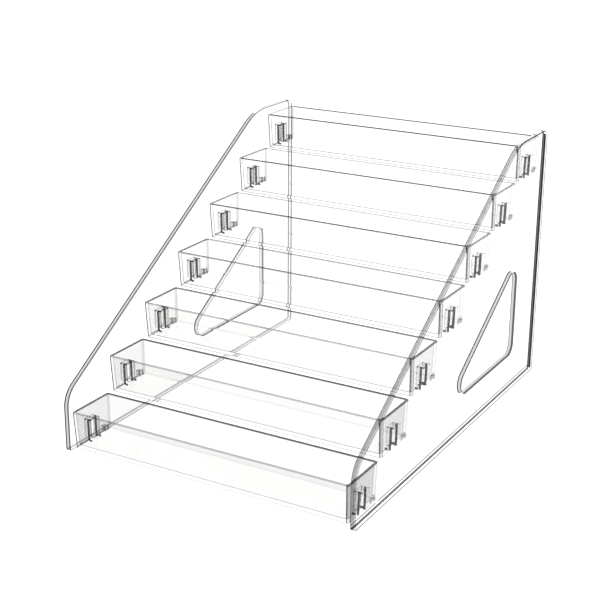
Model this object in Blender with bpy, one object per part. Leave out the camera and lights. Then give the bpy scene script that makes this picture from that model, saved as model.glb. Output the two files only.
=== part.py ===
"""Seven-tier nail polish rack of clear moulded plastic.

Two upright side panels stand on their bottom edges. Each carries a stair of seven T-shaped lugs
and seven small pegs on its inner face. Seven open trays hang between them: a slot in each end wall
drops over a lug, and a notch at the rear corner sits on the peg, so every tray lifts straight off.

Frame: +X to the right seen from the front, -Y the front, +Z up. The origin is at the
middle of the footprint, on the surface that the rack stands on. Units are metres.
"""
from math import acos, atan2, cos, pi, radians, sin, tan

import bmesh
import bpy
from mathutils import Matrix, Vector

MM = 0.001

# ---- tiers
TIER_COUNT = 7
TIER_RUN = 42.7 * MM             # from one tray to the next, front to back
TIER_RISE = 26.35 * MM           # and upwards

# ---- tray: an open trough whose walls lean outwards towards the rim
TRAY_LENGTH = 212.0 * MM         # outside, at the rim
TRAY_DEPTH = 39.6 * MM           # outside, at the rim
TRAY_HEIGHT = 27.1 * MM
TRAY_WALL = 1.8 * MM
FRONT_DRAFT = 1.8 * MM           # how far each wall comes in from rim to floor
REAR_DRAFT = 0.8 * MM
END_DRAFT = 0.6 * MM
TRAY_CORNER_RADIUS = 1.8 * MM    # upright corners, outside
TRAY_FOOT_RADIUS = 0.7 * MM      # edges round the floor, outside
HOLLOW_CORNER_RADIUS = 1.0 * MM  # the same corners, inside
HOLLOW_FOOT_RADIUS = 0.8 * MM
CORNER_SEGMENTS = 4
FOOT_SEGMENTS = 3
FIRST_RIM_SETBACK = 1.4 * MM     # lowest tray's front rim, behind the panels' front edge
FIRST_RIM_HEIGHT = 29.3 * MM

# ---- side panel: a flat plate with a stepped-back front and a three-cornered window
PANEL_DEPTH = 301.0 * MM
PANEL_HEIGHT = 192.5 * MM
PANEL_THICKNESS = 3.8 * MM
PANEL_INNER_X = 107.7 * MM       # inner faces, either side of the middle
FRONT_EDGE_HEIGHT = 41.6 * MM    # upright front edge, up to where the slope would start
FRONT_BEND_RADIUS = 18.0 * MM
TOP_BEND_RADIUS = 50.0 * MM
TOP_REAR_RADIUS = 7.0 * MM
BOTTOM_RADIUS = 2.0 * MM
PANEL_EDGE_ROUND = 0.5 * MM
SLOPE = TIER_RISE / TIER_RUN     # the slanted edge runs parallel to the tiers

WINDOW_REAR = 253.8 * MM         # upright side, from the panel's front edge
WINDOW_SILL = 30.5 * MM
WINDOW_BELOW_SLOPE = 96.5 * MM   # slanted side, straight below the panel's slanted edge
WINDOW_RADIUS = 7.8 * MM

# ---- lug on the panel, slot and notch in the tray (heights are below the tray's rim)
FIT_GAP = 0.3 * MM
LUG_CENTRE = 19.5 * MM           # behind the tray's front rim
SLOT_WIDTH = 8.2 * MM
SLOT_TOP = 10.9 * MM
SLOT_REACH = 4.8 * MM            # how far the slot runs in from the rim's end, floor included
LUG_BOTTOM = 25.4 * MM
HEAD_WIDTH = 9.6 * MM
HEAD_THICKNESS = 1.6 * MM
HEAD_TOP_RADIUS = 1.2 * MM
HEAD_FOOT_RADIUS = 3.2 * MM
NECK_STEP = 0.5 * MM             # how far the pad and head stand proud of the neck, above and below
PEG_FRONT = 32.9 * MM            # behind the tray's front rim
PEG_WIDTH = 3.4 * MM
PEG_TOP = 23.0 * MM
PEG_HEIGHT = 3.6 * MM
PEG_RADIUS = 0.5 * MM
ROOT = 0.6 * MM                  # how deep a lug or peg starts inside the plate
LUG_CORNER_STEPS = 3

ARC_TOLERANCE = 0.03 * MM         # how far a flat may cut inside its arc
CUT_OVERRUN = 2.0 * MM

FRONT_Y = -PANEL_DEPTH / 2

# ---- where the tray's end wall stands at the lug
WALL_OUTSIDE_AT_SLOT = TRAY_LENGTH / 2 - END_DRAFT * SLOT_TOP / TRAY_HEIGHT
WALL_INSIDE_AT_FLOOR = TRAY_LENGTH / 2 - END_DRAFT - TRAY_WALL
PAD_FACE_X = WALL_OUTSIDE_AT_SLOT + FIT_GAP
HEAD_BACK_X = WALL_INSIDE_AT_FLOOR - FIT_GAP
HEAD_FACE_X = HEAD_BACK_X - HEAD_THICKNESS


def clear_scene():
    for item in list(bpy.data.objects):
        bpy.data.objects.remove(item, do_unlink=True)


def new_collection(name):
    collection = bpy.data.collections.new(name)
    bpy.context.scene.collection.children.link(collection)
    return collection


def clear_plastic(name, colour, roughness):
    """Colourless moulded plastic with a polished skin."""
    material = bpy.data.materials.new(name)
    material.use_nodes = True
    shader = material.node_tree.nodes["Principled BSDF"]
    shader.inputs["Base Color"].default_value = (*colour, 1.0)
    shader.inputs["Roughness"].default_value = roughness
    shader.inputs["Metallic"].default_value = 0.0
    shader.inputs["IOR"].default_value = 1.55
    shader.inputs["Transmission Weight"].default_value = 1.0
    material.diffuse_color = (*colour, 0.35)
    return material


# ---------------------------------------------------------------- outlines


def rounded(corners, corner_steps=0):
    """Points round a convex-cornered outline. Each corner is (point, radius), counter-clockwise. A
    corner gets the given number of flats, or as many as its radius needs."""
    points = []
    count = len(corners)
    for index, (corner, radius) in enumerate(corners):
        before = (Vector(corners[index - 1][0]) - Vector(corner)).normalized()
        after = (Vector(corners[(index + 1) % count][0]) - Vector(corner)).normalized()
        half_angle = acos(before.dot(after)) / 2
        centre = Vector(corner) + (before + after).normalized() * (radius / sin(half_angle))
        start = Vector(corner) + before * (radius / tan(half_angle)) - centre
        first_angle = atan2(start.y, start.x)
        sweep = pi - 2 * half_angle
        steps = corner_steps or max(2, round(sweep / (2 * acos(1 - ARC_TOLERANCE / radius))))
        for step in range(steps + 1):
            angle = first_angle + sweep * step / steps
            points.append(centre + Vector((cos(angle), sin(angle))) * radius)
    return points


def rounded_box(low, high, foot_radius, top_radius):
    """Rounded rectangle from its low and high corners, with its own radius below and above."""
    return rounded([
        ((low[0], low[1]), foot_radius),
        ((high[0], low[1]), foot_radius),
        ((high[0], high[1]), top_radius),
        ((low[0], high[1]), top_radius),
    ], LUG_CORNER_STEPS)


def plate(name, outlines, x_from, x_to, collection, edge_round=0.0):
    """Flat plate in the YZ plane between two X positions. The first outline is its rim, and any
    others are windows in it. Outline points are (y, z)."""
    curve = bpy.data.curves.new(name, "CURVE")
    curve.dimensions = "2D"
    curve.fill_mode = "BOTH"
    curve.extrude = abs(x_to - x_from) / 2 - edge_round
    curve.bevel_depth = edge_round
    curve.bevel_resolution = 1
    curve.offset = -edge_round
    curve.render_resolution_u = 0
    for index, outline in enumerate(outlines):
        ordered = outline if index == 0 else list(reversed(outline))
        spline = curve.splines.new("POLY")
        spline.points.add(len(ordered) - 1)
        for point, place in zip(spline.points, ordered):
            point.co = (place[0], place[1], 0.0, 1.0)
        spline.use_cyclic_u = True
    drawn = bpy.data.objects.new(name + "_outline", curve)
    collection.objects.link(drawn)
    drawn.rotation_euler = (pi / 2, 0.0, pi / 2)
    drawn.location = ((x_from + x_to) / 2, 0.0, 0.0)
    return solid_from_curve(drawn, name, collection)


def solid_from_curve(drawn, name, collection):
    """Turn a filled curve into a welded mesh object in the same place."""
    bpy.context.view_layer.update()
    evaluated = drawn.evaluated_get(bpy.context.evaluated_depsgraph_get())
    mesh = bpy.data.meshes.new_from_object(evaluated)
    mesh.name = name
    body = bmesh.new()
    body.from_mesh(mesh)
    bmesh.ops.remove_doubles(body, verts=body.verts, dist=0.00001)
    bmesh.ops.recalc_face_normals(body, faces=body.faces)
    body.to_mesh(mesh)
    body.free()
    solid = bpy.data.objects.new(name, mesh)
    collection.objects.link(solid)
    solid.matrix_world = drawn.matrix_world.copy()
    bpy.data.objects.remove(drawn, do_unlink=True)
    return solid


def helper_object(name, body, collection):
    """Hidden object made from a bmesh, for a Boolean to use."""
    mesh = bpy.data.meshes.new(name)
    bmesh.ops.recalc_face_normals(body, faces=body.faces)
    body.to_mesh(mesh)
    body.free()
    helper = bpy.data.objects.new(name, mesh)
    helper.hide_render = True
    helper.display_type = "WIRE"
    collection.objects.link(helper)
    return helper


def boolean(target, helper, operation):
    modifier = target.modifiers.new(operation.lower() + "_" + helper.name, "BOOLEAN")
    modifier.operation = operation
    modifier.object = helper
    modifier.solver = "EXACT"


# ---------------------------------------------------------------- side panels


def rim_place(tier):
    """Y and Z of a tray's front rim. The lowest tray is tier 0."""
    y = FRONT_Y + FIRST_RIM_SETBACK + tier * TIER_RUN
    z = FIRST_RIM_HEIGHT + tier * TIER_RISE
    return y, z


def panel_outline():
    """Upright front edge, slanted edge parallel to the tiers, level top and upright rear edge."""
    rear = FRONT_Y + PANEL_DEPTH
    slope_end = FRONT_Y + (PANEL_HEIGHT - FRONT_EDGE_HEIGHT) / SLOPE
    return rounded([
        ((FRONT_Y, 0.0), BOTTOM_RADIUS),
        ((rear, 0.0), BOTTOM_RADIUS),
        ((rear, PANEL_HEIGHT), TOP_REAR_RADIUS),
        ((slope_end, PANEL_HEIGHT), TOP_BEND_RADIUS),
        ((FRONT_Y, FRONT_EDGE_HEIGHT), FRONT_BEND_RADIUS),
    ])


def window_outline():
    """Right-angled window low at the rear, its long side parallel to the slanted edge."""
    line_start = FRONT_EDGE_HEIGHT - WINDOW_BELOW_SLOPE
    front_corner = FRONT_Y + (WINDOW_SILL - line_start) / SLOPE
    rear = FRONT_Y + WINDOW_REAR
    apex = line_start + SLOPE * WINDOW_REAR
    return rounded([
        ((front_corner, WINDOW_SILL), WINDOW_RADIUS),
        ((rear, WINDOW_SILL), WINDOW_RADIUS),
        ((rear, apex), WINDOW_RADIUS),
    ])


def add_loft(body, layers):
    """Add a closed solid through matching YZ outlines, each at its own X."""
    rings = [[body.verts.new((x, place[0], place[1])) for place in outline] for x, outline in layers]
    for ring, following in zip(rings, rings[1:]):
        for index in range(len(ring)):
            body.faces.new((ring[index - 1], ring[index], following[index], following[index - 1]))
    body.faces.new(rings[0])
    body.faces.new(rings[-1])


def add_lug(body, side, tier):
    """T-shaped lug: a pad on the plate, a neck through the tray's end wall, a head behind it."""
    rim_y, rim_z = rim_place(tier)
    middle = rim_y + LUG_CENTRE
    top = rim_z - SLOT_TOP - FIT_GAP
    neck_half = SLOT_WIDTH / 2 - FIT_GAP
    radii = (HEAD_FOOT_RADIUS, HEAD_TOP_RADIUS)
    wide = rounded_box((middle - HEAD_WIDTH / 2, rim_z - LUG_BOTTOM),
                       (middle + HEAD_WIDTH / 2, top + NECK_STEP), *radii)
    narrow = rounded_box((middle - neck_half, rim_z - LUG_BOTTOM + NECK_STEP),
                         (middle + neck_half, top), *radii)
    add_loft(body, [
        (side * (PANEL_INNER_X + ROOT), wide),
        (side * PAD_FACE_X, wide),
        (side * PAD_FACE_X, narrow),
        (side * HEAD_BACK_X, narrow),
        (side * HEAD_BACK_X, wide),
        (side * HEAD_FACE_X, wide),
    ])


def add_peg(body, side, tier):
    """Small peg that carries a tray's rear corner."""
    rim_y, rim_z = rim_place(tier)
    low = (rim_y + PEG_FRONT, rim_z - PEG_TOP - PEG_HEIGHT)
    high = (rim_y + PEG_FRONT + PEG_WIDTH, rim_z - PEG_TOP)
    outline = rounded_box(low, high, PEG_RADIUS, PEG_RADIUS)
    add_loft(body, [
        (side * (PANEL_INNER_X + ROOT), outline),
        (side * WALL_INSIDE_AT_FLOOR, outline),
    ])


def side_panel(name, side, parts, helpers):
    """Plate with its lugs and pegs. side is +1 for the +X panel and -1 for the -X panel."""
    outer_x = PANEL_INNER_X + PANEL_THICKNESS
    panel = plate(name, [panel_outline(), window_outline()], side * PANEL_INNER_X, side * outer_x,
                  parts, PANEL_EDGE_ROUND)
    body = bmesh.new()
    for tier in range(TIER_COUNT):
        add_lug(body, side, tier)
        add_peg(body, side, tier)
    boolean(panel, helper_object(name + "_lugs_and_pegs", body, helpers), "UNION")
    panel.data.materials.append(clear_plastic("clear_" + name, (0.93, 0.945, 0.95), 0.04))
    panel.data.shade_smooth()
    panel.data.set_sharp_from_angle(angle=radians(30))
    return panel


# ---------------------------------------------------------------- trays


def add_tub(body, inset, floor_z, top_z, corner_radius, foot_radius):
    """Add a solid frustum between two heights whose sides follow the tray's leaning walls, set in by
    a distance. The rim is at z = 0, and the front rim's middle is the origin."""
    rings = []
    for z in (floor_z, top_z):
        lean = -z / TRAY_HEIGHT
        half_length = TRAY_LENGTH / 2 - inset - END_DRAFT * lean
        front = inset + FRONT_DRAFT * lean
        rear = TRAY_DEPTH - inset - REAR_DRAFT * lean
        places = ((-half_length, front), (half_length, front), (half_length, rear), (-half_length, rear))
        rings.append([body.verts.new((x, y, z)) for x, y in places])
    floor, top = rings
    upright = []
    for index in range(len(floor)):
        body.faces.new((floor[index - 1], floor[index], top[index], top[index - 1]))
        upright.append(body.edges.get((floor[index], top[index])))
    body.faces.new(list(reversed(floor)))
    body.faces.new(top)
    bmesh.ops.bevel(body, geom=upright, offset=corner_radius, offset_type="OFFSET",
                    segments=CORNER_SEGMENTS, profile=0.5, affect="EDGES")
    foot = [edge for edge in body.edges if all(abs(vert.co.z - floor_z) < FIT_GAP for vert in edge.verts)]
    bmesh.ops.bevel(body, geom=foot, offset=foot_radius, offset_type="OFFSET",
                    segments=FOOT_SEGMENTS, profile=0.5, affect="EDGES")


def add_block(body, low, high):
    """Add a plain box between two corners. The corners' X values may come in either order."""
    low = Vector(low)
    high = Vector(high)
    size = Vector(abs(extent) for extent in high - low)
    bmesh.ops.create_cube(body, size=1.0, matrix=Matrix.LocRotScale((low + high) / 2, None, size))


def end_cutters(collection):
    """Slots that drop over the lugs and notches that sit on the pegs, at both ends of a tray, then the
    wider floor openings that let the lugs' heads through."""
    beyond_end = TRAY_LENGTH / 2 + CUT_OVERRUN
    below = -TRAY_HEIGHT - CUT_OVERRUN
    slot_x = TRAY_LENGTH / 2 - SLOT_REACH
    slot_front = LUG_CENTRE - SLOT_WIDTH / 2
    slot_rear = LUG_CENTRE + SLOT_WIDTH / 2
    head_front = LUG_CENTRE - HEAD_WIDTH / 2 - FIT_GAP
    head_rear = LUG_CENTRE + HEAD_WIDTH / 2 + FIT_GAP
    notch_x = WALL_INSIDE_AT_FLOOR - FIT_GAP
    notch_front = PEG_FRONT - FIT_GAP
    notch_rear = PEG_FRONT + PEG_WIDTH + FIT_GAP
    opening_x = WALL_INSIDE_AT_FLOOR - FIT_GAP / 2
    opening_top = -TRAY_HEIGHT + 2 * TRAY_WALL
    slots = bmesh.new()
    openings = bmesh.new()
    for side in (-1, 1):
        add_block(slots, (side * slot_x, slot_front, below), (side * beyond_end, slot_rear, -SLOT_TOP))
        add_block(slots, (side * notch_x, notch_front, below),
                  (side * beyond_end, notch_rear, FIT_GAP - PEG_TOP))
        add_block(openings, (side * slot_x, head_front, below), (side * opening_x, head_rear, opening_top))
    return (helper_object("tray_slots_and_notches", slots, collection),
            helper_object("tray_floor_openings", openings, collection))


def tray_mesh(helpers):
    """One finished tray shape, shared by all seven."""
    outside = bmesh.new()
    add_tub(outside, 0.0, -TRAY_HEIGHT, 0.0, TRAY_CORNER_RADIUS, TRAY_FOOT_RADIUS)
    pattern = helper_object("tray_pattern", outside, helpers)
    inside = bmesh.new()
    add_tub(inside, TRAY_WALL, TRAY_WALL - TRAY_HEIGHT, CUT_OVERRUN, HOLLOW_CORNER_RADIUS,
            HOLLOW_FOOT_RADIUS)
    boolean(pattern, helper_object("tray_hollow", inside, helpers), "DIFFERENCE")
    for cutter in end_cutters(helpers):
        boolean(pattern, cutter, "DIFFERENCE")
    bpy.context.view_layer.update()
    evaluated = pattern.evaluated_get(bpy.context.evaluated_depsgraph_get())
    mesh = bpy.data.meshes.new_from_object(evaluated)
    mesh.name = "tray"
    mesh.shade_smooth()
    mesh.set_sharp_from_angle(angle=radians(30))
    bpy.data.objects.remove(pattern, do_unlink=True)
    return mesh


def main():
    clear_scene()
    parts = new_collection("nail_polish_rack")
    helpers = new_collection("cutters")
    side_panel("left_side_panel", -1, parts, helpers)
    side_panel("right_side_panel", 1, parts, helpers)
    shape = tray_mesh(helpers)
    for tier in range(TIER_COUNT):
        name = f"tray_{tier + 1}"
        tray = bpy.data.objects.new(name, shape.copy())
        tray.data.materials.append(clear_plastic("clear_" + name, (0.94, 0.95, 0.95), 0.03))
        rim_y, rim_z = rim_place(tier)
        tray.location = (0.0, rim_y, rim_z)
        parts.objects.link(tray)


main()
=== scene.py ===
from math import acos, atan2, cos, pi, radians, sin, tan

import bmesh
import bpy
from mathutils import Matrix, Vector


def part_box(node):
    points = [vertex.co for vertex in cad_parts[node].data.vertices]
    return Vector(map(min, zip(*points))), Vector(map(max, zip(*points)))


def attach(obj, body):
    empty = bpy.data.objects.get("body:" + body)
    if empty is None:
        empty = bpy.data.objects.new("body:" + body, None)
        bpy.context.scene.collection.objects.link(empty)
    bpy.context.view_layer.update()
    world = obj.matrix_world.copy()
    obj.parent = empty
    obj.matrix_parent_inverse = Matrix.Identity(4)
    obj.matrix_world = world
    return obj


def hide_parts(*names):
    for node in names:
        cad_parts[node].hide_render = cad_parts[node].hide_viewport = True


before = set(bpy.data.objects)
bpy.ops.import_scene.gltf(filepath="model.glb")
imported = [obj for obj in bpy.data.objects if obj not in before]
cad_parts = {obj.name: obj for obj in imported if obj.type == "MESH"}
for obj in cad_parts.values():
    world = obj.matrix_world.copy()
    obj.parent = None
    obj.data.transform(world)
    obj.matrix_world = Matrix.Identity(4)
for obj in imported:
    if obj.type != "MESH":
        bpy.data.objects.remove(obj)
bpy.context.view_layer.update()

MM = 0.001
SIDES = {"left_side_panel": -1, "right_side_panel": 1}
TRAYS = sorted(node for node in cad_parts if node.startswith("tray_"))

# ---- side panel, as the CAD has it
THICKNESS = 3.8 * MM
FRONT_EDGE_HEIGHT = 41.6 * MM
FRONT_BEND_RADIUS = 18.0 * MM
TOP_BEND_RADIUS = 50.0 * MM
TOP_REAR_RADIUS = 7.0 * MM
BOTTOM_RADIUS = 2.0 * MM
EDGE_ROUND = 0.75 * MM
WINDOW_REAR = 253.8 * MM
WINDOW_SILL = 30.5 * MM
WINDOW_BELOW_SLOPE = 96.5 * MM
WINDOW_RADIUS = 7.8 * MM

# ---- tray, as the CAD has it
WALL = 1.8 * MM
FRONT_DRAFT = 1.8 * MM
REAR_DRAFT = 0.8 * MM
END_DRAFT = 0.6 * MM
CORNER_RADIUS = 1.8 * MM
HOLLOW_CORNER_RADIUS = 1.0 * MM
FOOT_RADIUS = 0.7 * MM
HOLLOW_FOOT_RADIUS = 0.8 * MM
RIM_ROUND = 0.45 * MM

# ---- lug, peg, slot and notch (heights are below the rim, distances are behind the front rim)
GAP = 0.3 * MM
LUG_CENTRE = 19.5 * MM
SLOT_WIDTH = 8.2 * MM
SLOT_TOP = 10.9 * MM
SLOT_REACH = 4.8 * MM
LUG_BOTTOM = 25.4 * MM
HEAD_WIDTH = 9.6 * MM
HEAD_THICKNESS = 1.6 * MM
HEAD_TOP_RADIUS = 1.2 * MM
HEAD_FOOT_RADIUS = 3.2 * MM
HEAD_EDGE_ROUND = 0.35 * MM
NECK_STEP = 0.5 * MM
PEG_FRONT = 32.9 * MM
PEG_WIDTH = 3.4 * MM
PEG_TOP = 23.0 * MM
PEG_HEIGHT = 3.6 * MM
PEG_RADIUS = 0.5 * MM
ROOT = 0.6 * MM
OVERRUN = 2.0 * MM

# ---- fineness of the visible surface; HAIR keeps a plate's rounded edges inside the CAD's box
ARC_TOLERANCE = 0.008 * MM
HAIR = 0.0005 * MM
SAME_PLACE = 0.01 * MM
CORNER_STEPS = 6
ROUND_STEPS = 4
LUG_STEPS = 5
SHARP_ANGLE = radians(30.0)
NORMAL_WEIGHT = 50

# ---- where the narrow strips of painted shade lie that are darker than the faces round them
REAR_STRIP = 2.2 * MM
REAR_FACE_STRIP = 2.4 * MM
WINDOW_STRIP = 1.4 * MM
EDGE_STRIP = 1.3 * MM
FOOT_LINE_LOW = 2.9 * MM
FOOT_LINE_HIGH = 3.8 * MM
RIM_STRIP = 0.2 * MM
END_RIM_REACH = 1.5 * WALL

# ---- how light each kind of surface is painted, from 0, painted black shade, to 1, clear; the painted shade stands in for the dark lines that refraction and reflection draw; -1 is the left panel, 1 the right
CLEAR_FACE = 0.992
LIT_OTHER_EDGE = 0.8
LIT_LINE = {-1: 0.08, 1: 0.01}
LIT_BOTTOM_LINE = {-1: 0.3, 1: 0.01}
LIT_SLOPE_EDGE = {-1: 0.3, 1: 0.17}
LIT_SLOPE_LINE = {-1: 0.01, 1: 0.02}
LIT_SLOPE_OUTER_LINE = {-1: 0.0, 1: 0.4}
LIT_REAR_STRIP = 0.0
LIT_FOOT_LINE = 0.03
LIT_BELOW_FOOT_LINE = 0.8
LIT_WINDOW_WALL = {-1: 0.5, 1: 0.3}
LIT_WINDOW_STRIP = {-1: 0.75, 1: 0.01}
LIT_WINDOW_LINE = 0.01
LIT_LUG_SIDE = {-1: 0.4, 1: 0.85}
LIT_LUG_EDGE = {-1: 0.0, 1: 0.04}
LIT_CORNER = 0.0
LIT_CORNER_MIDDLE = 0.5
LIT_INSIDE_CORNER = 0.25
LIT_REAR_CORNER = 0.65
LIT_FRONT_FOOT = 0.12
LIT_REAR_FOOT = 0.8
LIT_END_FOOT = 0.22
LIT_SLOT = 0.01
LIT_NOTCH = 0.35

# ---- the same painted shade for what differs between trays, from tray_1, the lowest, to tray_7; the lower trays' end and rear walls are painted darker
LIT_FRONT_RIMS = (0.35, 0.35, 0.3, 0.12, 0.04, 0.04, 0.01)
LIT_REAR_RIMS = (0.02, 0.02, 0.06, 0.2, 0.4, 0.4, 0.05)
LIT_END_RIMS = (0.03, 0.03, 0.04, 0.06, 0.1, 0.12, 0.4)
LIT_END_WALLS = (0.8, 0.85, 0.91, 0.96, 0.992, 0.992, 0.992)
LIT_REAR_WALLS = (0.9, 0.93, 0.97, 0.992, 0.992, 0.992, 0.992)

# ---- which way a face looks, by the size of one part of its normal
SQUARE_ON = 0.999
NEARLY_LEVEL = 0.995
MOSTLY = 0.9
SLANTED = 0.3
UPRIGHT = 0.2
TILTED = 0.1
EDGE_ON = 0.02
CORNER_X = 0.06
CORNER_Y = 0.09

# ---- clear plastic
PLASTIC_IOR = 1.01
COAT_WEIGHT = 0.3
COAT_IOR = 1.5
# the black end of the painted shade; CLEAR_TINT is the plastic's own faint warm colour
SHADE_BLACK = (0.0, 0.0, 0.0, 1.0)
CLEAR_TINT = (1.0, 0.998, 0.994, 1.0)
# painted shade per piece, darker towards the lowest tray and on the left panel, for the light that
# falls off there
PIECE_SHADES = {"left_side_panel": 0.95, "right_side_panel": 0.99, "tray_1": 0.88, "tray_2": 0.9,
         "tray_3": 0.92, "tray_4": 0.95, "tray_5": 0.97, "tray_6": 0.98, "tray_7": 0.98}
TINT_SPREAD = 0.02
SEED_STEP = (0.37, 0.61, 0.13)
WAVE_SCALE = 22.0
WAVE_DETAIL = 2.0
WAVE_RANGE = (0.3, 0.7)
HAZE_SCALE = 60.0
HAZE_DETAIL = 5.0
HAZE_RANGE = (0.35, 0.7)
HAZE_ROUGHNESS = 0.05
SCRATCH_SCALE = (30.0, 900.0, 900.0)
SCRATCH_TURN = (0.4, 0.7, 0.5)
SCRATCH_TURN_STEP = 0.3
SCRATCH_DETAIL = 3.0
SCRATCH_RANGE = (0.68, 0.78)
SCRATCH_ROUGHNESS = 0.1
SCRATCH_DEPTH = -0.02
BUMP_STRENGTH = 0.2
BUMP_DISTANCE = 0.4 * MM

# ---- driving places, read from the frame
TRAY_LOW, TRAY_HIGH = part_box(TRAYS[0])
TRAY_LENGTH = TRAY_HIGH.x - TRAY_LOW.x
TRAY_DEPTH = TRAY_HIGH.y - TRAY_LOW.y
TRAY_HEIGHT = TRAY_HIGH.z - TRAY_LOW.z
PANEL_LOW, PANEL_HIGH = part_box("right_side_panel")
OUTER_X = PANEL_HIGH.x
INNER_X = OUTER_X - THICKNESS
FRONT_Y = PANEL_LOW.y
REAR_Y = PANEL_HIGH.y
PANEL_HEIGHT = PANEL_HIGH.z
RIMS = [Vector((0.0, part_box(tray)[0].y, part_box(tray)[1].z)) for tray in TRAYS]
SLOPE = (RIMS[1].z - RIMS[0].z) / (RIMS[1].y - RIMS[0].y)
WALL_OUTSIDE_AT_SLOT = TRAY_LENGTH / 2 - END_DRAFT * SLOT_TOP / TRAY_HEIGHT
WALL_INSIDE_AT_FLOOR = TRAY_LENGTH / 2 - END_DRAFT - WALL
PAD_FACE_X = WALL_OUTSIDE_AT_SLOT + GAP
HEAD_BACK_X = WALL_INSIDE_AT_FLOOR - GAP
HEAD_FACE_X = HEAD_BACK_X - HEAD_THICKNESS

# ---- camera
CAMERA_PLACE = Vector((0.443168, -0.802936, 0.411005))
CAMERA_YAW = 0.517
CAMERA_PITCH = 0.343
CAMERA_ROLL = 0.007
CAMERA_LENS = 81.47
SENSOR_WIDTH = 36.0
CLIP_RANGE = (0.01, 100.0)

# ---- white studio
SWEEP_LEVEL = 1.35
MIRRORED_ROOM = 1.3
MIRRORED_FLOOR = 0.45
FLOOR_RADIUS = 8.0
FLOOR_SEGMENTS = 96
FLOOR_DROP = 0.2 * MM
CLEAR_BOUNCES = 64
GLOSSY_BOUNCES = 32


# ================================================================ geometry helpers


def rounded(corners, corner_steps=0):
    """Points round a convex-cornered outline of (point, radius) corners, counter-clockwise."""
    points = []
    count = len(corners)
    for index, (corner, radius) in enumerate(corners):
        before = (Vector(corners[index - 1][0]) - Vector(corner)).normalized()
        after = (Vector(corners[(index + 1) % count][0]) - Vector(corner)).normalized()
        half_angle = acos(before.dot(after)) / 2
        centre = Vector(corner) + (before + after).normalized() * (radius / sin(half_angle))
        start = Vector(corner) + before * (radius / tan(half_angle)) - centre
        first_angle = atan2(start.y, start.x)
        sweep = pi - 2 * half_angle
        steps = corner_steps or max(3, round(sweep / (2 * acos(1 - ARC_TOLERANCE / radius))))
        for step in range(steps + 1):
            angle = first_angle + sweep * step / steps
            points.append(centre + Vector((cos(angle), sin(angle))) * radius)
    return points


def rounded_box(low, high, foot_radius, top_radius, steps):
    """Rounded rectangle between two corners, with its own radius below and above."""
    return rounded([
        ((low[0], low[1]), foot_radius),
        ((high[0], low[1]), foot_radius),
        ((high[0], high[1]), top_radius),
        ((low[0], high[1]), top_radius),
    ], steps)


def object_from(name, body):
    """Mesh object from a bmesh, shaded smooth except along its sharp edges."""
    bmesh.ops.recalc_face_normals(body, faces=body.faces)
    mesh = bpy.data.meshes.new(name)
    body.to_mesh(mesh)
    body.free()
    mesh.shade_smooth()
    mesh.set_sharp_from_angle(angle=SHARP_ANGLE)
    made = bpy.data.objects.new(name, mesh)
    bpy.context.scene.collection.objects.link(made)
    return made


def evaluated_mesh(target):
    """The object's mesh with its modifiers applied."""
    bpy.context.view_layer.update()
    evaluated = target.evaluated_get(bpy.context.evaluated_depsgraph_get())
    return bpy.data.meshes.new_from_object(evaluated)


def flatten_shading(target):
    """Keep large faces optically flat: their own normal wins over the small rounding faces'."""
    modifier = target.modifiers.new("flat_faces", "WEIGHTED_NORMAL")
    modifier.mode = "FACE_AREA"
    modifier.weight = NORMAL_WEIGHT
    modifier.keep_sharp = True
    mesh = evaluated_mesh(target)
    target.modifiers.clear()
    target.data = mesh


def add_rings(body, rings):
    """Add a closed solid through rings of points, all with the same count, capped at both ends."""
    loops = [[body.verts.new(place) for place in ring] for ring in rings]
    for loop, following in zip(loops, loops[1:]):
        for index in range(len(loop)):
            body.faces.new((loop[index - 1], loop[index], following[index], following[index - 1]))
    body.faces.new(loops[0])
    body.faces.new(loops[-1])


def add_block(body, low, high):
    """Add a plain box between two corners. The corners' X values may come in either order."""
    low = Vector(low)
    high = Vector(high)
    size = Vector(abs(extent) for extent in high - low)
    bmesh.ops.create_cube(body, size=1.0, matrix=Matrix.LocRotScale((low + high) / 2, None, size))


def combine(target, cutter, operation):
    """Apply one exact Boolean to target and remove the cutter."""
    modifier = target.modifiers.new("combine", "BOOLEAN")
    modifier.operation = operation
    modifier.object = cutter
    modifier.solver = "EXACT"
    mesh = evaluated_mesh(target)
    mesh.name = target.data.name
    target.modifiers.clear()
    target.data = mesh
    bpy.data.objects.remove(cutter, do_unlink=True)
    mesh.shade_smooth()
    mesh.set_sharp_from_angle(angle=SHARP_ANGLE)


# ================================================================ side panels


def panel_outline():
    """Outline of a side panel as (Y, Z) points: upright front edge, straight slope, rounded top."""
    slope_end = FRONT_Y + (PANEL_HEIGHT - FRONT_EDGE_HEIGHT) / SLOPE
    return rounded([
        ((FRONT_Y, 0.0), BOTTOM_RADIUS),
        ((REAR_Y, 0.0), BOTTOM_RADIUS),
        ((REAR_Y, PANEL_HEIGHT), TOP_REAR_RADIUS),
        ((slope_end, PANEL_HEIGHT), TOP_BEND_RADIUS),
        ((FRONT_Y, FRONT_EDGE_HEIGHT), FRONT_BEND_RADIUS),
    ])


def window_outline():
    """Outline of the triangular window, whose long side runs parallel to the slope."""
    line_start = FRONT_EDGE_HEIGHT - WINDOW_BELOW_SLOPE
    rear = FRONT_Y + WINDOW_REAR
    return rounded([
        ((FRONT_Y + (WINDOW_SILL - line_start) / SLOPE, WINDOW_SILL), WINDOW_RADIUS),
        ((rear, WINDOW_SILL), WINDOW_RADIUS),
        ((rear, line_start + SLOPE * WINDOW_REAR), WINDOW_RADIUS),
    ])


WINDOW_LOW = Vector(min(point[axis] for point in window_outline()) - MM for axis in (0, 1))
WINDOW_HIGH = Vector(max(point[axis] for point in window_outline()) + MM for axis in (0, 1))


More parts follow.
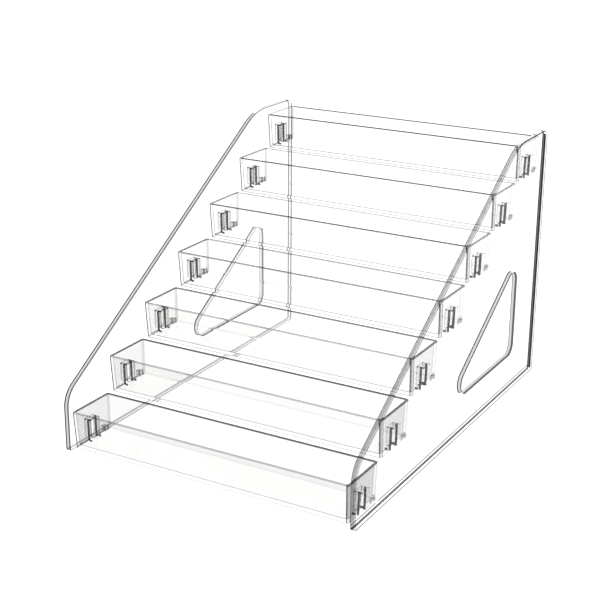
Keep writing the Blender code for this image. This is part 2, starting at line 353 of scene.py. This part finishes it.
def panel_plate(name, side):
    """Flat plate with rounded edges, from a filled curve. Curve x and y become world Y and Z. Planes
    then cut its faces where the strips of painted dark shade end."""
    curve = bpy.data.curves.new(name, "CURVE")
    curve.dimensions = "2D"
    curve.fill_mode = "BOTH"
    curve.extrude = THICKNESS / 2 - EDGE_ROUND - HAIR
    curve.bevel_depth = EDGE_ROUND
    curve.bevel_resolution = ROUND_STEPS
    curve.offset = -EDGE_ROUND
    for outline in (panel_outline(), list(reversed(window_outline()))):
        spline = curve.splines.new("POLY")
        spline.points.add(len(outline) - 1)
        for point, place in zip(spline.points, outline):
            point.co = (place[0], place[1], 0.0, 1.0)
        spline.use_cyclic_u = True
    drawn = bpy.data.objects.new(name + "_outline", curve)
    bpy.context.scene.collection.objects.link(drawn)
    mesh = evaluated_mesh(drawn)
    bpy.data.objects.remove(drawn, do_unlink=True)
    turn = Matrix.Translation((side * (INNER_X + THICKNESS / 2), 0.0, 0.0))
    turn = turn @ Matrix.Rotation(pi / 2, 4, "Z") @ Matrix.Rotation(pi / 2, 4, "X")
    mesh.transform(turn)
    body = bmesh.new()
    body.from_mesh(mesh)
    bpy.data.meshes.remove(mesh)
    bmesh.ops.remove_doubles(body, verts=body.verts, dist=SAME_PLACE)
    strip_ends = (
        (side * (INNER_X + REAR_STRIP), 0.0, 0.0),
        (side * (OUTER_X - WINDOW_STRIP), 0.0, 0.0),
        (0.0, REAR_Y - REAR_FACE_STRIP, 0.0),
        (0.0, 0.0, EDGE_STRIP),
        (0.0, 0.0, FOOT_LINE_LOW),
        (0.0, 0.0, FOOT_LINE_HIGH),
    )
    # each plane is square to the axis along which its point lies
    for place in strip_ends:
        axis = [1.0 if distance else 0.0 for distance in place]
        bmesh.ops.bisect_plane(body, geom=body.verts[:] + body.edges[:] + body.faces[:],
                               plane_co=place, plane_no=axis)
    return object_from(name, body)


def at_x(x, outline):
    """The (Y, Z) outline as a ring of points at one X."""
    return [(x, place[0], place[1]) for place in outline]


def add_lug(body, side, rim):
    """T-shaped lug with a rounded head: pad on the plate, neck through the end wall, head inside."""
    middle = rim.y + LUG_CENTRE
    top = rim.z - SLOT_TOP - GAP
    neck_half = SLOT_WIDTH / 2 - GAP

    def wide(inset):
        return rounded_box((middle - HEAD_WIDTH / 2 + inset, rim.z - LUG_BOTTOM + inset),
                           (middle + HEAD_WIDTH / 2 - inset, top + NECK_STEP - inset),
                           HEAD_FOOT_RADIUS - inset, HEAD_TOP_RADIUS - inset, LUG_STEPS)

    narrow = rounded_box((middle - neck_half, rim.z - LUG_BOTTOM + NECK_STEP),
                         (middle + neck_half, top),
                         HEAD_FOOT_RADIUS, HEAD_TOP_RADIUS, LUG_STEPS)
    rings = [
        at_x(side * (INNER_X + ROOT), wide(0.0)),
        at_x(side * PAD_FACE_X, wide(0.0)),
        at_x(side * PAD_FACE_X, narrow),
        at_x(side * HEAD_BACK_X, narrow),
        at_x(side * HEAD_BACK_X, wide(0.0)),
    ]
    for step in range(ROUND_STEPS + 1):
        angle = pi / 2 * step / ROUND_STEPS
        x = HEAD_FACE_X + HEAD_EDGE_ROUND * (1 - sin(angle))
        rings.append(at_x(side * x, wide(HEAD_EDGE_ROUND * (1 - cos(angle)))))
    add_rings(body, rings)


def add_peg(body, side, rim):
    """Small square peg that stands in a tray's notch and stops the tray turning."""
    low = (rim.y + PEG_FRONT, rim.z - PEG_TOP - PEG_HEIGHT)
    high = (rim.y + PEG_FRONT + PEG_WIDTH, rim.z - PEG_TOP)
    outline = rounded_box(low, high, PEG_RADIUS, PEG_RADIUS, LUG_STEPS)
    add_rings(body, [at_x(side * (INNER_X + ROOT), outline),
                     at_x(side * WALL_INSIDE_AT_FLOOR, outline)])


def side_panel(node, side):
    """One side panel with its seven lugs and seven pegs."""
    panel = panel_plate(node + "_moulding", side)
    body = bmesh.new()
    for rim in RIMS:
        add_lug(body, side, rim)
        add_peg(body, side, rim)
    combine(panel, object_from("lugs_and_pegs", body), "UNION")
    flatten_shading(panel)
    # painted shade on the panel's edges and lines, written per face
    store_painted_lightness(panel.data, panel_painted_lightness)
    return panel


# ================================================================ trays


def tray_ring(inset, z, radius):
    """Rounded rectangle of the tray's plan at height z, set in from the leaning outer faces."""
    lean = -z / TRAY_HEIGHT
    half_length = TRAY_LENGTH / 2 - inset - END_DRAFT * lean
    front = inset + FRONT_DRAFT * lean
    rear = TRAY_DEPTH - inset - REAR_DRAFT * lean
    outline = rounded_box((-half_length, front), (half_length, rear), radius, radius, CORNER_STEPS)
    return [(place[0], place[1], z) for place in outline]


def tray_rings():
    """Rings from the underside up the outside, over the rim and down the inside to the floor."""
    rings = []
    quarter = [pi / 2 * step / ROUND_STEPS for step in range(ROUND_STEPS + 1)]
    for angle in quarter:
        inset = FOOT_RADIUS * (1 - sin(angle))
        rings.append((inset, -TRAY_HEIGHT + FOOT_RADIUS * (1 - cos(angle)), CORNER_RADIUS - inset))
    # here and on the inside, extra rings end the rims' strips of painted shade
    rings.append((0.0, -RIM_ROUND - RIM_STRIP, CORNER_RADIUS))
    for angle in quarter:
        inset = RIM_ROUND * (1 - cos(angle))
        rings.append((inset, RIM_ROUND * (sin(angle) - 1), CORNER_RADIUS - inset))
    for angle in quarter:
        beyond = RIM_ROUND * sin(angle)
        rings.append((WALL - RIM_ROUND + beyond, RIM_ROUND * (cos(angle) - 1),
                      HOLLOW_CORNER_RADIUS + RIM_ROUND - beyond))
    rings.append((WALL, -RIM_ROUND - RIM_STRIP, HOLLOW_CORNER_RADIUS))
    floor = -TRAY_HEIGHT + WALL
    for angle in quarter:
        inset = HOLLOW_FOOT_RADIUS * (1 - cos(angle))
        rings.append((WALL + inset, floor + HOLLOW_FOOT_RADIUS * (1 - sin(angle)),
                      HOLLOW_CORNER_RADIUS - inset + HOLLOW_FOOT_RADIUS / ROUND_STEPS))
    return [tray_ring(*ring) for ring in rings]


def end_cutters():
    """Slots over the lugs and notches over the pegs, then the openings that let the heads through."""
    beyond_end = TRAY_LENGTH / 2 + OVERRUN
    below = -TRAY_HEIGHT - OVERRUN
    slot_x = TRAY_LENGTH / 2 - SLOT_REACH
    slot_front = LUG_CENTRE - SLOT_WIDTH / 2
    slot_rear = LUG_CENTRE + SLOT_WIDTH / 2
    head_front = LUG_CENTRE - HEAD_WIDTH / 2 - GAP
    head_rear = LUG_CENTRE + HEAD_WIDTH / 2 + GAP
    notch_x = WALL_INSIDE_AT_FLOOR - GAP
    notch_front = PEG_FRONT - GAP
    notch_rear = PEG_FRONT + PEG_WIDTH + GAP
    opening_x = WALL_INSIDE_AT_FLOOR - GAP / 2
    opening_top = 2 * WALL - TRAY_HEIGHT
    slots = bmesh.new()
    openings = bmesh.new()
    for side in (-1, 1):
        add_block(slots, (side * slot_x, slot_front, below), (side * beyond_end, slot_rear, -SLOT_TOP))
        add_block(slots, (side * notch_x, notch_front, below),
                  (side * beyond_end, notch_rear, GAP - PEG_TOP))
        add_block(openings, (side * slot_x, head_front, below),
                  (side * opening_x, head_rear, opening_top))
    return object_from("slots", slots), object_from("openings", openings)


def tray_shell():
    """One tray, with the middle of its front rim at the origin. All seven have this shape."""
    body = bmesh.new()
    add_rings(body, tray_rings())
    shell = object_from("tray_shell", body)
    for cutter in end_cutters():
        combine(shell, cutter, "DIFFERENCE")
    flatten_shading(shell)
    return shell


# ================================================================ materials


def store_painted_lightness(mesh, lightness_of, *details):
    """Write each face's painted lightness, from 0, painted black shade, to 1, clear, as the attribute
    that the material reads.
    """
    attribute = mesh.attributes.new("painted_lightness", "FLOAT", "FACE")
    for polygon in mesh.polygons:
        attribute.data[polygon.index].value = lightness_of(polygon, *details)


def panel_painted_lightness(polygon):
    """How light a side panel's face is painted, by its place and the way it looks; painted shade on
    edges, lines, window walls and lugs stands in for the dark lines of refraction and reflection.
    """
    normal = polygon.normal
    place = polygon.center
    side = 1 if place.x > 0 else -1
    line = LIT_LINE[side]
    from_inner = abs(place.x) - INNER_X
    if abs(normal.x) > SQUARE_ON:
        if from_inner < THICKNESS / 2 and place.y > REAR_Y - REAR_FACE_STRIP:
            return LIT_REAR_STRIP if side > 0 else line
        if place.z < EDGE_STRIP:
            return LIT_BOTTOM_LINE[side]
        # a painted dark line low on the right panel's inner face, standing in for a refraction line
        if side > 0 and from_inner < THICKNESS / 2 and place.z < FOOT_LINE_HIGH:
            return LIT_FOOT_LINE if place.z > FOOT_LINE_LOW else LIT_BELOW_FOOT_LINE
        return CLEAR_FACE
    flat = abs(normal.x) < EDGE_ON
    if from_inner < SAME_PLACE:
        bent = min(abs(normal.y), normal.z) > SLANTED
        return LIT_LUG_SIDE[side] if flat and not bent else LIT_LUG_EDGE[side]
    in_window = WINDOW_LOW.x < place.y < WINDOW_HIGH.x and WINDOW_LOW.y < place.z < WINDOW_HIGH.y
    if flat and in_window:
        near_outer = from_inner > THICKNESS - WINDOW_STRIP
        return LIT_WINDOW_STRIP[side] if near_outer else LIT_WINDOW_WALL[side]
    if flat and normal.y > MOSTLY:
        return LIT_REAR_STRIP if side > 0 and from_inner < REAR_STRIP else LIT_OTHER_EDGE
    sloping = normal.y < -SLANTED and not in_window
    if sloping and (not flat or side < 0 and from_inner > THICKNESS - WINDOW_STRIP):
        return LIT_SLOPE_OUTER_LINE[side] if from_inner > EDGE_ROUND else LIT_SLOPE_LINE[side]
    if flat:
        return LIT_SLOPE_EDGE[side] if sloping else LIT_OTHER_EDGE
    if in_window:
        return LIT_WINDOW_LINE
    return LIT_BOTTOM_LINE[side] if normal.z < -SLANTED else line


def tray_painted_lightness(polygon, front_rim, rear_rim, end_rim, end_wall, rear_wall):
    """How light a tray's face is painted, with this tray's own values for its rims, ends and rear
    wall; painted shade on rims, corners, feet, slots and notches stands in for dark refraction and
    reflection.
    """
    normal = polygon.normal
    place = polygon.center
    if place.z > -RIM_ROUND - RIM_STRIP:
        if abs(place.x) > TRAY_LENGTH / 2 - END_RIM_REACH:
            return end_rim
        return front_rim if place.y < TRAY_DEPTH / 2 else rear_rim
    if abs(normal.z) < UPRIGHT and abs(normal.x) > CORNER_X and abs(normal.y) > CORNER_Y:
        if place.y > TRAY_DEPTH / 2:
            return LIT_REAR_CORNER
        if normal.x * place.x < 0:
            return LIT_INSIDE_CORNER
        return LIT_CORNER_MIDDLE if min(abs(normal.x), abs(normal.y)) > SLANTED else LIT_CORNER
    if TILTED < abs(normal.z) < NEARLY_LEVEL:
        if abs(normal.x) > abs(normal.y):
            return LIT_END_FOOT
        return LIT_FRONT_FOOT if place.y < TRAY_DEPTH / 2 else LIT_REAR_FOOT
    if abs(place.x) > TRAY_LENGTH / 2 - SLOT_REACH and abs(normal.y) > SQUARE_ON:
        return LIT_SLOT if place.y < LUG_CENTRE + SLOT_WIDTH else LIT_NOTCH
    if abs(normal.x) > MOSTLY:
        return end_wall
    if abs(normal.y) > MOSTLY and place.y > TRAY_DEPTH / 2:
        return rear_wall
    return CLEAR_FACE


def spread(nodes, links, source, source_range, low, high):
    """Map a noise value from its range to low and high, kept between them."""
    mapped = nodes.new("ShaderNodeMapRange")
    mapped.inputs["From Min"].default_value = source_range[0]
    mapped.inputs["From Max"].default_value = source_range[1]
    mapped.inputs["To Min"].default_value = low
    mapped.inputs["To Max"].default_value = high
    links.new(source, mapped.inputs["Value"])
    return mapped.outputs[0]


def noise(nodes, links, place, scale, detail):
    """Value of one noise texture, from 0 to 1."""
    made = nodes.new("ShaderNodeTexNoise")
    made.inputs["Scale"].default_value = scale
    made.inputs["Detail"].default_value = detail
    links.new(place, made.inputs["Vector"])
    return made.outputs["Fac"]


def scaled_sum(nodes, links, value, factor, base):
    """value times factor, plus base."""
    made = nodes.new("ShaderNodeMath")
    made.operation = "MULTIPLY_ADD"
    made.inputs[1].default_value = factor
    links.new(value, made.inputs[0])
    links.new(base, made.inputs[2])
    return made.outputs[0]


def clear_plastic(name, seed, shade_level):
    """Clear moulded plastic: polished skin, painted shade on narrow faces and over whole pieces,
    uneven haze, hairline scratches and slow waviness. The seed moves and turns the marks, so that no
    two trays match."""
    material = bpy.data.materials.new(name)
    material.use_nodes = True
    nodes = material.node_tree.nodes
    links = material.node_tree.links
    shader = nodes["Principled BSDF"]
    shader.inputs["Transmission Weight"].default_value = 1.0
    shader.inputs["IOR"].default_value = PLASTIC_IOR
    shader.inputs["Coat Weight"].default_value = COAT_WEIGHT
    shader.inputs["Coat IOR"].default_value = COAT_IOR
    shader.inputs["Coat Roughness"].default_value = 0.0

    place = nodes.new("ShaderNodeTexCoord")
    offset = nodes.new("ShaderNodeMapping")
    offset.inputs["Location"].default_value = [step * seed for step in SEED_STEP]
    links.new(place.outputs["Object"], offset.inputs["Vector"])
    stretch = nodes.new("ShaderNodeMapping")
    turn_x, turn_y, turn_z = SCRATCH_TURN
    stretch.inputs["Rotation"].default_value = (turn_x, turn_y + SCRATCH_TURN_STEP * seed, turn_z)
    stretch.inputs["Scale"].default_value = SCRATCH_SCALE
    links.new(offset.outputs[0], stretch.inputs["Vector"])
    waves = noise(nodes, links, offset.outputs[0], WAVE_SCALE, WAVE_DETAIL)
    cloud = noise(nodes, links, offset.outputs[0], HAZE_SCALE, HAZE_DETAIL)
    streak = noise(nodes, links, stretch.outputs[0], 1.0, SCRATCH_DETAIL)
    scratch = spread(nodes, links, streak, SCRATCH_RANGE, 0.0, 1.0)

    # the face attribute runs through the ramp from painted black shade to clear, and the piece's
    # painted shade level, with slow random tone from the waves, darkens it further
    painted_lightness = nodes.new("ShaderNodeAttribute")
    painted_lightness.attribute_name = "painted_lightness"
    ramp = nodes.new("ShaderNodeValToRGB")
    ramp.color_ramp.elements[0].color = SHADE_BLACK
    ramp.color_ramp.elements[1].color = CLEAR_TINT
    links.new(painted_lightness.outputs["Fac"], ramp.inputs[0])
    shaded_colour = nodes.new("ShaderNodeMix")
    shaded_colour.data_type = "RGBA"
    shaded_colour.blend_type = "MULTIPLY"
    shaded_colour.inputs[0].default_value = 1.0
    links.new(ramp.outputs[0], shaded_colour.inputs[6])
    links.new(spread(nodes, links, waves, WAVE_RANGE, shade_level, shade_level + TINT_SPREAD), shaded_colour.inputs[7])
    links.new(shaded_colour.outputs[2], shader.inputs["Base Color"])

    haze = spread(nodes, links, cloud, HAZE_RANGE, 0.0, HAZE_ROUGHNESS)
    links.new(scaled_sum(nodes, links, scratch, SCRATCH_ROUGHNESS, haze), shader.inputs["Roughness"])
    bump = nodes.new("ShaderNodeBump")
    bump.inputs["Strength"].default_value = BUMP_STRENGTH
    bump.inputs["Distance"].default_value = BUMP_DISTANCE
    links.new(scaled_sum(nodes, links, scratch, SCRATCH_DEPTH, waves), bump.inputs["Height"])
    links.new(bump.outputs[0], shader.inputs["Normal"])
    links.new(bump.outputs[0], shader.inputs["Coat Normal"])
    return material


def give_material(target, material):
    """Make the material the only one on the piece."""
    target.data.materials.clear()
    target.data.materials.append(material)


# ================================================================ studio


def point_camera():
    """Camera at the photograph's viewing angle."""
    data = bpy.data.cameras.new("camera")
    data.lens = CAMERA_LENS
    data.sensor_width = SENSOR_WIDTH
    data.clip_start, data.clip_end = CLIP_RANGE
    camera = bpy.data.objects.new("camera", data)
    bpy.context.scene.collection.objects.link(camera)
    forward = Vector((-sin(CAMERA_YAW) * cos(CAMERA_PITCH), cos(CAMERA_YAW) * cos(CAMERA_PITCH),
                      -sin(CAMERA_PITCH)))
    right = Vector((cos(CAMERA_YAW), sin(CAMERA_YAW), 0.0))
    up = right.cross(forward)
    turned_right = right * cos(CAMERA_ROLL) + up * sin(CAMERA_ROLL)
    turned_up = up * cos(CAMERA_ROLL) - right * sin(CAMERA_ROLL)
    turn = Matrix((turned_right, turned_up, -forward)).transposed()
    camera.matrix_world = Matrix.Translation(CAMERA_PLACE) @ turn.to_4x4()
    bpy.context.scene.camera = camera


def seen_or_mirrored(nodes, links, mirrored_level):
    """Brightness of the white sweep: full where it is seen straight or through clear plastic, and
    another level where a surface mirrors it."""
    path = nodes.new("ShaderNodeLightPath")
    mirrored = nodes.new("ShaderNodeMath")
    mirrored.operation = "GREATER_THAN"
    mirrored.inputs[1].default_value = 0.5
    links.new(path.outputs["Glossy Depth"], mirrored.inputs[0])
    level = nodes.new("ShaderNodeMapRange")
    level.inputs["To Min"].default_value = SWEEP_LEVEL
    level.inputs["To Max"].default_value = mirrored_level
    links.new(mirrored.outputs[0], level.inputs["Value"])
    return level.outputs[0]


def studio():
    """White room and pale glowing floor, which light the plastic evenly from all round."""
    world = bpy.data.worlds.new("studio")
    bpy.context.scene.world = world
    world.use_nodes = True
    nodes = world.node_tree.nodes
    links = world.node_tree.links
    background = nodes["Background"]
    background.inputs["Color"].default_value = (1.0, 1.0, 1.0, 1.0)
    links.new(seen_or_mirrored(nodes, links, MIRRORED_ROOM), background.inputs["Strength"])

    floor_mesh = bpy.data.meshes.new("floor")
    body = bmesh.new()
    bmesh.ops.create_circle(body, cap_ends=True, radius=FLOOR_RADIUS, segments=FLOOR_SEGMENTS)
    body.to_mesh(floor_mesh)
    body.free()
    floor = bpy.data.objects.new("floor", floor_mesh)
    floor.location.z = -FLOOR_DROP
    bpy.context.scene.collection.objects.link(floor)
    material = bpy.data.materials.new("floor")
    material.use_nodes = True
    nodes = material.node_tree.nodes
    links = material.node_tree.links
    shader = nodes["Principled BSDF"]
    shader.inputs["Base Color"].default_value = (0.0, 0.0, 0.0, 1.0)
    shader.inputs["Specular IOR Level"].default_value = 0.0
    shader.inputs["Emission Color"].default_value = (1.0, 1.0, 1.0, 1.0)
    links.new(seen_or_mirrored(nodes, links, MIRRORED_FLOOR), shader.inputs["Emission Strength"])
    floor_mesh.materials.append(material)

    scene = bpy.context.scene
    scene.view_settings.view_transform = "Standard"
    scene.cycles.max_bounces = CLEAR_BOUNCES
    scene.cycles.transmission_bounces = CLEAR_BOUNCES
    scene.cycles.glossy_bounces = GLOSSY_BOUNCES


# ================================================================ assembly

point_camera()
studio()
for node, side in SIDES.items():
    panel = side_panel(node, side)
    give_material(panel, clear_plastic("clear_" + node, side, PIECE_SHADES[node]))
    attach(panel, "side_panels")
    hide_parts(node)

pattern = tray_shell()
for index, (node, rim) in enumerate(zip(TRAYS, RIMS)):
    tray = bpy.data.objects.new(node + "_moulding", pattern.data.copy())
    bpy.context.scene.collection.objects.link(tray)
    tray.location = rim
    # each tray gets its own painted shade on rims and on end and rear walls
    store_painted_lightness(tray.data, tray_painted_lightness, LIT_FRONT_RIMS[index], LIT_REAR_RIMS[index],
                  LIT_END_RIMS[index], LIT_END_WALLS[index], LIT_REAR_WALLS[index])
    give_material(tray, clear_plastic("clear_" + node, index, PIECE_SHADES[node]))
    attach(tray, node + "_body")
    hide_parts(node)
bpy.data.objects.remove(pattern, do_unlink=True)
